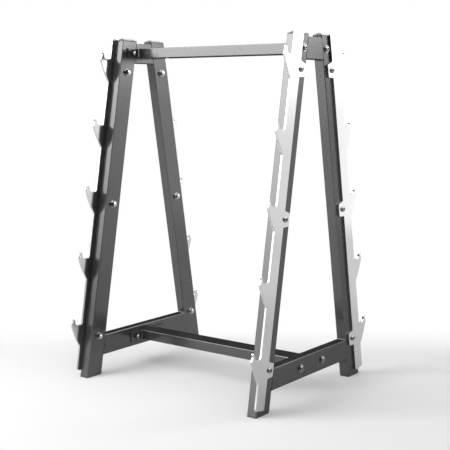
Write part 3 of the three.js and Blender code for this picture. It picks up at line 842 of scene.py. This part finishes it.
class RACK_OT_fasteners(bpy.types.Operator):
    """Build the bolts, washers and nuts"""

    bl_idname = "rack.fasteners"
    bl_label = "Fasteners"

    def execute(self, context):
        rack = Rack(context)
        size, fitting, hook = rack.frame, rack.fitting, rack.hook
        steel = finish(context, "fastener_steel")
        nut = hex_nut(fitting.nut_across, fitting.nut_height, NUT_BORE * fitting.bolt_radius)
        ring = washer(fitting.washer_radius, fitting.bolt_radius, fitting.washer_thickness)
        nut_end = fitting.washer_thickness + fitting.nut_height

        face = size.narrow / 2 + size.seat_gap
        head_seat = face + hook.thickness + size.seat_gap
        hook_bolt = bolt(fitting, head_seat + face + nut_end + fitting.stickout)
        hook_nut = moved([ring], (-fitting.washer_thickness, 0, 0)) + moved([nut], (-nut_end, 0, 0))
        for leg, (number, level) in product(rack.every_leg, enumerate(rack.tab_levels, start=1)):
            out, name = leg.outward, f"{leg.name}_{number}"
            bolt_seat, nut_seat = ((out * x, size.wide / 2, level) for x in (head_seat, -face))
            seated_bolt, seated_nut = moved(hook_bolt, bolt_seat, out), moved(hook_nut, nut_seat, out)
            dress(f"hook_bolt_{name}", placed(seated_bolt, leg.along), steel, bright=(0, 1, 1))
            dress(f"hook_nut_{name}", placed(seated_nut, leg.along), steel, bright=(0, 1))

        beam_grip = nut_end + size.narrow + 2 * size.seat_gap + size.end_thickness + fitting.stickout
        beam_bolt = [ring] + moved(bolt(fitting, beam_grip), (fitting.washer_thickness, 0, 0))
        for (level, height), leg in product(rack.levels.items(), rack.every_leg):
            centre = (leg.sign * (rack.middle + face), -leg.turn * rack.bolt_y, height)
            seated_bolt = moved(beam_bolt, centre, leg.sign)
            dress(f"beam_bolt_{level}_{leg.name}", seated_bolt, steel, bright=(0, 0, 1, 1))
        return {"FINISHED"}


# Nodes


def add_node(tree, kind, inputs=None, **settings):
    """A shader node with its settings, and its inputs set to values or linked to other sockets."""
    node = tree.nodes.new(kind)
    for name, value in settings.items():
        setattr(node, name, value)
    for name, value in (inputs or {}).items():
        if isinstance(value, bpy.types.NodeSocket):
            tree.links.new(value, node.inputs[name])
        else:
            node.inputs[name].default_value = value
    return node


def calculate(tree, operation, *values):
    """The result of one Math node."""
    return add_node(tree, "ShaderNodeMath", dict(enumerate(values)), operation=operation).outputs[0]


def remap(tree, value, start, end, low=0, high=1, **settings):
    """A value from start to end becomes one from low to high, and never leaves these two."""
    return add_node(tree, "ShaderNodeMapRange", {
        "Value": value, "From Min": start, "From Max": end, "To Min": low, "To Max": high,
    }, **settings).outputs[0]


def noise(tree, position, scale, detail, roughness=0.5):
    """Noise between zero and one, with scale swells to the metre."""
    return add_node(tree, "ShaderNodeTexNoise", {
        "Vector": position, "Scale": scale, "Detail": detail, "Roughness": roughness,
    }).outputs["Fac"]


def mix_colour(tree, factor, first, second):
    """Two colours mixed by a mask."""
    node = add_node(tree, "ShaderNodeMix", {"Factor": factor}, data_type="RGBA")
    colours = [socket for socket in node.inputs if socket.enabled and socket.type == "RGBA"]
    for socket, value in zip(colours, (first, second)):
        if isinstance(value, bpy.types.NodeSocket):
            tree.links.new(value, socket)
        else:
            socket.default_value = (*value, 1)
    return next(socket for socket in node.outputs if socket.enabled)


def mottle(tree, mask, tone, darkest, palest):
    """A tone made darker and paler by a mask: darkest and palest are what it is multiplied by."""
    dark, pale = (tuple(min(1, part * factor) for part in tone) for factor in (darkest, palest))
    return mix_colour(tree, mask, dark, pale)


def blank_material(name):
    """A new material with its node tree and its Object coordinates."""
    material = bpy.data.materials.new(name)
    material.use_nodes = True
    tree = material.node_tree
    return material, tree, add_node(tree, "ShaderNodeTexCoord").outputs["Object"]


def show(tree, shader):
    """Makes a shader the one that its material shows."""
    tree.links.new(shader.outputs[0], tree.nodes["Material Output"].inputs["Surface"])


def surface(tree, tone, gloss, relief, metallic=0):
    """Sets the colour, metallic depth, roughness and relief of a material's shader, and returns it.

    gloss is (mask, low, high): over the middle half of the mask, the roughness goes from low to
    high. relief is (height, strength, distance), and it tilts the normal.
    """
    shader = tree.nodes["Principled BSDF"]
    mask, low, high = gloss
    height, strength, distance = relief
    bump = add_node(tree, "ShaderNodeBump", {"Height": height, "Strength": strength, "Distance": distance})
    tree.links.new(tone, shader.inputs["Base Color"])
    tree.links.new(remap(tree, mask, 0.25, 0.75, low, high), shader.inputs["Roughness"])
    tree.links.new(bump.outputs[0], shader.inputs["Normal"])
    shader.inputs["Metallic"].default_value = metallic
    return shader


# Effects that finishes share: node groups, which each material places with its own values


def effect(name, inputs, outputs):
    """An empty node group with a position, more inputs given as (name, default), and named outputs."""
    group = bpy.data.node_groups.new(name, "ShaderNodeTree")
    group.interface.new_socket("Position", in_out="INPUT", socket_type="NodeSocketVector")
    for label, default in inputs:
        socket = group.interface.new_socket(label, in_out="INPUT", socket_type="NodeSocketFloat")
        socket.default_value = default
    for label in outputs:
        group.interface.new_socket(label, in_out="OUTPUT", socket_type="NodeSocketFloat")
    return group, group.nodes.new("NodeGroupInput").outputs, group.nodes.new("NodeGroupOutput").inputs


def coat_texture(name):
    """Orange peel of a sprayed coat or a mould: soft round swells, with a finer grain on top."""
    inputs = [
        ("Swells per metre", 700), ("Grain per metre", 2600), ("Grain share", 0.25), ("Clouds per metre", 9),
    ]
    group, given, result = effect(name, inputs, ["Height", "Mottle"])
    swell = noise(group, given["Position"], given["Swells per metre"], detail=1.5)
    grain = noise(group, given["Position"], given["Grain per metre"], detail=2)
    height = calculate(group, "MULTIPLY_ADD", grain, given["Grain share"], swell)
    group.links.new(height, result["Height"])
    mottled = noise(group, given["Position"], given["Clouds per metre"], detail=4, roughness=0.6)
    group.links.new(mottled, result["Mottle"])
    return group


def rolled_grain(name):
    """Grain of rolled and plated steel: noise drawn out along the leg, with a few broad clouds."""
    inputs = [("Lines per metre", 1500), ("Stretch", 0.02), ("Clouds per metre", 14)]
    group, given, result = effect(name, inputs, ["Lines", "Clouds"])
    squeeze = add_node(group, "ShaderNodeCombineXYZ", {"X": 1, "Y": 1, "Z": given["Stretch"]})
    drawn = add_node(group, "ShaderNodeVectorMath", {
        0: given["Position"], 1: squeeze.outputs[0],
    }, operation="MULTIPLY")
    lines = noise(group, drawn.outputs[0], given["Lines per metre"], detail=3)
    clouds = noise(group, given["Position"], given["Clouds per metre"], detail=5, roughness=0.55)
    group.links.new(lines, result["Lines"])
    group.links.new(clouds, result["Clouds"])
    return group


def settled_dust(name):
    """Dust that settles low on the rack: a broken-up film that fades with height above the floor."""
    inputs = [("Reach", 0.25), ("Amount", 0.2), ("Specks per metre", 160)]
    group, given, result = effect(name, inputs, ["Mask"])
    axis = add_node(group, "ShaderNodeSeparateXYZ", {"Vector": given["Position"]}).outputs
    fade = remap(group, axis["Z"], 0, given["Reach"], 1, 0)
    specks = noise(group, given["Position"], given["Specks per metre"], detail=6, roughness=0.7)
    broken = calculate(group, "MULTIPLY", fade, specks)
    group.links.new(calculate(group, "MULTIPLY", broken, given["Amount"]), result["Mask"])
    return group


EFFECTS = {"Coat texture": coat_texture, "Rolled grain": rolled_grain, "Settled dust": settled_dust}


def place_effect(tree, name, position, **values):
    """The outputs of a shared effect placed in a material. The effect is made at its first use."""
    group = bpy.data.node_groups.get(name) or EFFECTS[name](name)
    node = add_node(tree, "ShaderNodeGroup", node_tree=group)
    tree.links.new(position, node.inputs["Position"])
    for label, value in values.items():
        node.inputs[label.replace("_", " ").capitalize()].default_value = value
    return node.outputs


# Finishes: each function fills a material's tree


def frame_paint(tree, position, colours):
    """Glossy dark grey powder coat with a metallic depth, light orange peel and faint dust low down."""
    coat = place_effect(tree, "Coat texture", position)
    dust = place_effect(tree, "Settled dust", position, reach=colours.dust_reach, amount=0.10)
    body = mottle(tree, coat["Mottle"], colours.paint, darkest=0.93, palest=1.07)
    dusty = mix_colour(tree, dust["Mask"], body, colours.dust)
    gloss, relief = (coat["Mottle"], 0.19, 0.24), (coat["Height"], 0.25, colours.paint_swell)
    shader = surface(tree, dusty, gloss, relief, metallic=0.75)
    shader.inputs["Specular Tint"].default_value = (0.05, 0.05, 0.05, 1)


def hook_metal(tree, position, colours):
    """Bright plated steel plate: fine rolling lines up the plate, and soft clouds in the gloss."""
    grain = place_effect(tree, "Rolled grain", position)
    body = mottle(tree, grain["Clouds"], colours.hook_metal, darkest=0.97, palest=1.04)
    gloss, relief = (grain["Clouds"], 0.12, 0.18), (grain["Lines"], 0.12, colours.hook_lines)
    surface(tree, body, gloss, relief, metallic=1)


def fastener_metal(tree, position, colours):
    """Dark plate of the bolt heads and washers, and bright zinc of the nuts and threads."""
    grain = place_effect(tree, "Rolled grain", position, stretch=0.6)
    dark = mottle(tree, grain["Clouds"], colours.fastener, darkest=0.8, palest=1.25)
    plating = add_node(tree, "ShaderNodeAttribute", attribute_name="Bright").outputs["Fac"]
    body = mix_colour(tree, plating, dark, colours.zinc)
    gloss, relief = (grain["Lines"], 0.10, 0.20), (grain["Lines"], 0.15, colours.fastener_lines)
    surface(tree, body, gloss, relief, metallic=1)


def cap_plastic(tree, position, colours):
    """Black moulded plastic with a fine spark-eroded grain."""
    coat = place_effect(tree, "Coat texture", position, swells_per_metre=1800)
    body = mottle(tree, coat["Mottle"], colours.plastic, darkest=0.8, palest=1.3)
    gloss, relief = (coat["Mottle"], 0.26, 0.36), (coat["Height"], 0.5, colours.plastic_grain)
    surface(tree, body, gloss, relief)


def foot_rubber(tree, position, colours):
    """Black moulded rubber, dusty where it meets the floor."""
    coat = place_effect(tree, "Coat texture", position, swells_per_metre=1200)
    dust = place_effect(tree, "Settled dust", position, reach=colours.foot_dust_reach, amount=0.35)
    dusty = mix_colour(tree, dust["Mask"], colours.rubber, colours.foot_dust)
    gloss, relief = (coat["Mottle"], 0.70, 0.85), (coat["Height"], 0.5, colours.rubber_grain)
    surface(tree, dusty, gloss, relief)


FINISHES = {
    "frame_paint": ("Frame paint", frame_paint),
    "hook_metal": ("Hook metal", hook_metal),
    "fastener_steel": ("Fastener metal", fastener_metal),
    "cap_plastic": ("Cap plastic", cap_plastic),
    "foot_rubber": ("Foot rubber", foot_rubber),
}


def finish(context, slot):
    """The material of a slot, which is made at its first use."""
    name, fill = FINISHES[slot]
    material = bpy.data.materials.get(name)
    if material is None:
        material, tree, position = blank_material(name)
        material["slot"] = slot
        fill(tree, position, context.scene.rack_finish)
    return material


# Studio


def seen_directly(tree):
    """One for rays from the camera and for glossy and transmitted rays, which show the background."""
    path = add_node(tree, "ShaderNodeLightPath").outputs
    indirect = calculate(tree, "MAXIMUM", path["Is Glossy Ray"], path["Is Transmission Ray"])
    return calculate(tree, "MAXIMUM", path["Is Camera Ray"], indirect)


def glow(name, low, gain=0, rise=1, start=0, top=1, edges=(0, -1)):
    """A material that shines more the higher it is: low up to the start, low plus gain at the top.

    In between, the gain is multiplied by the share of the height to the power of rise. Where low
    or gain has two values, it changes from the first to the second between the two edges, which
    are places along X.
    """
    material, tree, position = blank_material(name)
    axis = add_node(tree, "ShaderNodeSeparateXYZ", {"Vector": position}).outputs
    power = calculate(tree, "POWER", remap(tree, axis["Z"], start, top), rise)
    base, more = (remap(tree, axis["X"], *edges, *np.broadcast_to(two, 2).tolist()) for two in (low, gain))
    strength = calculate(tree, "MULTIPLY_ADD", more, power, base)
    show(tree, add_node(tree, "ShaderNodeEmission", {"Strength": strength}))
    return material


def floor_material(studio, tone):
    """A pale floor that keeps the rack's shadow, and turns white behind the rack and far from it."""
    material, tree, position = blank_material("Floor")
    shader = tree.nodes["Principled BSDF"]
    cloud = noise(tree, position, studio.floor_clouds, detail=4)
    pale = mottle(tree, cloud, tone, darkest=0.99, palest=1.01)
    tree.links.new(pale, shader.inputs["Base Color"])
    shader.inputs["Roughness"].default_value = 0.9
    shader.inputs["Specular IOR Level"].default_value = 0.1
    ahead = (-math.sin(studio.yaw), math.cos(studio.yaw), 0)
    distance, behind = (
        add_node(tree, "ShaderNodeVectorMath", inputs, operation=operation).outputs["Value"]
        for operation, inputs in (("LENGTH", {0: position}), ("DOT_PRODUCT", {0: position, 1: ahead}))
    )
    far = remap(tree, distance, *studio.floor_far, studio.floor_haze, interpolation_type="SMOOTHSTEP")
    back = remap(tree, behind, *studio.floor_behind, interpolation_type="SMOOTHSTEP")
    clear = calculate(tree, "MAXIMUM", far, back)
    shown = calculate(tree, "MULTIPLY", clear, seen_directly(tree))
    white = add_node(tree, "ShaderNodeEmission", {"Color": (1, 1, 1, 1), "Strength": 1})
    show(tree, add_node(tree, "ShaderNodeMixShader", {0: shown, 1: shader.outputs[0], 2: white.outputs[0]}))
    return material


def studio_surface(name, points, faces, material):
    """A surface of the studio, which isn't a part of the rack."""
    mesh = bpy.data.meshes.new(name)
    mesh.from_pydata(points, [], faces)
    mesh.materials.append(material)
    part = bpy.data.objects.new(name, mesh)
    bpy.context.scene.collection.objects.link(part)
    return part


def studio_wall(name, foot, crown, low, high, material, lights=False):
    """A wall between a line at its foot and a line at its crown, unseen by the camera.

    A wall that lights the rack acts on every ray but the camera's, and one that doesn't is only
    there for the reflections.
    """
    count = len(foot)
    start = np.arange(count - 1)
    faces = np.column_stack((start, start + 1, start + count + 1, start + count))
    plan = [tuple(point) for point in (*foot, *crown)]
    points = np.column_stack((plan, np.repeat((low, high), count)))
    wall = studio_surface(name, points.tolist(), faces.tolist(), material)
    wall.visible_camera = wall.visible_transmission = wall.visible_shadow = False
    wall.visible_diffuse = lights


def round_line(ends, reach, steps=24):
    """Points on a circle about the rack, between two angles in degrees, with zero at the front."""
    turn = np.linspace(*np.radians(ends), steps)
    return reach * np.column_stack((np.sin(turn), -np.cos(turn)))


def light_walls(walls):
    """The front and back wall that light the rack, the curtains and the ceiling."""
    front = glow("Front glow", walls.front_low, walls.front_gain, walls.front_rise,
                 walls.front_dusk, walls.front_height, walls.front_edges)
    back = glow("Back glow", walls.back_low, walls.back_gain, walls.back_rise,
                0, walls.back_height, walls.back_edges)
    panel = glow("Low panel glow", walls.panel_glow, -walls.panel_fade, top=walls.panel_height)
    bright = glow("Ceiling glow", walls.ceiling_glow)
    grey = glow("Side curtain", walls.side_glow)
    dark = glow("Curtain", 0)

    front_feet, front_crowns = (walls.front_start, walls.front_foot), (walls.front_start, walls.front_crown)
    left_feet, left_crowns = (walls.front_foot, walls.left_foot), (walls.front_crown, walls.left_crown)
    panel_line = (walls.panel_start, walls.panel_end)
    back_line = (walls.back_start, walls.back_end)
    studio_wall("Front wall", front_feet, front_crowns, 0, walls.front_height, front, lights=True)
    studio_wall("Low panel", panel_line, panel_line, 0, walls.panel_height, panel)
    studio_wall("Left curtain", left_feet, left_crowns, walls.curtain_foot, walls.front_height, dark)
    studio_wall("Back wall", back_line, back_line, walls.back_foot, walls.back_height, back, lights=True)
    for name, ends, foot, material in (
        ("Front curtain", walls.front_curtain, 0, dark),
        ("Side curtain", walls.side_curtain, 0, grey),
        ("Rear curtain", walls.rear_curtain, walls.curtain_foot, dark),
    ):
        line = round_line(ends, walls.curtain_reach)
        studio_wall(name, line, line, foot, walls.curtain_height, material)
    half = walls.ceiling_half
    for name, ends in (("Front ceiling", walls.front_ceiling), ("Rear ceiling", walls.rear_ceiling)):
        near, far = ([(-half, y), (half, y)] for y in ends)
        studio_wall(name, near, far, walls.front_height, walls.front_height, bright)


class RACK_OT_stage(bpy.types.Operator):
    """Build the floor, the room's light, the lamp and the camera"""

    bl_idname = "rack.stage"
    bl_label = "Stage"

    def execute(self, context):
        scene, studio = context.scene, context.scene.rack_studio
        scene.view_settings.view_transform = "Standard"
        scene.world = self.room(studio)

        reach = studio.floor_reach
        corners = [(-reach, -reach, 0), (reach, -reach, 0), (reach, reach, 0), (-reach, reach, 0)]
        floor = floor_material(studio, scene.rack_finish.floor)
        studio_surface("Floor", corners, [(0, 1, 2, 3)], floor)
        light_walls(scene.rack_walls)

        softbox = bpy.data.objects.new("Top softbox", bpy.data.lights.new("Top softbox", "AREA"))
        softbox.data.size = studio.softbox_size
        softbox.data.energy = studio.softbox_power
        softbox.location = studio.softbox
        softbox.visible_camera = False
        scene.collection.objects.link(softbox)

        camera = bpy.data.objects.new("Camera", bpy.data.cameras.new("Camera"))
        camera.location = studio.eye
        camera.rotation_euler = (math.pi / 2 - studio.pitch, 0, studio.yaw)
        camera.data.sensor_fit = "HORIZONTAL"
        camera.data.lens = studio.lens
        scene.collection.objects.link(camera)
        scene.camera = camera
        return {"FINISHED"}

    def room(self, studio):
        """A world that is white where it is seen or mirrored, and lights the rack more faintly."""
        world = bpy.data.worlds.new("Room")
        world.use_nodes = True
        tree = world.node_tree
        background = tree.nodes["Background"]
        background.inputs["Color"].default_value = (1, 1, 1, 1)
        strength = remap(tree, seen_directly(tree), 0, 1, studio.ambient, 1)
        tree.links.new(strength, background.inputs["Strength"])
        return world


# Add-on


BUILD_STEPS = (
    "frame_tubes", "end_plates", "welds", "hook_plates", "caps_and_feet", "fasteners", "stage",
)
PROPERTY_GROUPS = {
    "rack_frame": RackFrameSizes,
    "rack_hook": RackHookSizes,
    "rack_fitting": RackFittingSizes,
    "rack_finish": RackFinishes,
    "rack_studio": RackStudio,
    "rack_walls": RackWalls,
}


class RACK_PT_sidebar(bpy.types.Panel):
    """The rack's sizes, finishes and build steps"""

    bl_idname = "RACK_PT_sidebar"
    bl_label = "Barbell storage rack"
    bl_space_type = "VIEW_3D"
    bl_region_type = "UI"
    bl_category = "Rack"

    def draw(self, context):
        """Lists the build steps, and then every value, group by group."""
        for step in BUILD_STEPS:
            self.layout.operator(f"rack.{step}")
        for group in PROPERTY_GROUPS:
            box = self.layout.box()
            values = getattr(context.scene, group)
            for name in values.bl_rna.properties.keys():
                if name not in ("rna_type", "name"):
                    box.prop(values, name)


CLASSES = (
    *PROPERTY_GROUPS.values(),
    RACK_OT_frame_tubes, RACK_OT_end_plates, RACK_OT_welds, RACK_OT_hook_plates,
    RACK_OT_caps_and_feet, RACK_OT_fasteners, RACK_OT_stage, RACK_PT_sidebar,
)


def register():
    """Adds the classes, and their values to the scene."""
    for item in CLASSES:
        bpy.utils.register_class(item)
    for name, group in PROPERTY_GROUPS.items():
        setattr(bpy.types.Scene, name, PointerProperty(type=group))


def unregister():
    """Takes the values out of the scene, and the classes away."""
    for name in PROPERTY_GROUPS:
        delattr(bpy.types.Scene, name)
    for item in reversed(CLASSES):
        bpy.utils.unregister_class(item)


def main():
    """Builds the rack and its stage."""
    register()
    for step in BUILD_STEPS:
        getattr(bpy.ops.rack, step)()


if __name__ == "__main__":
    main()
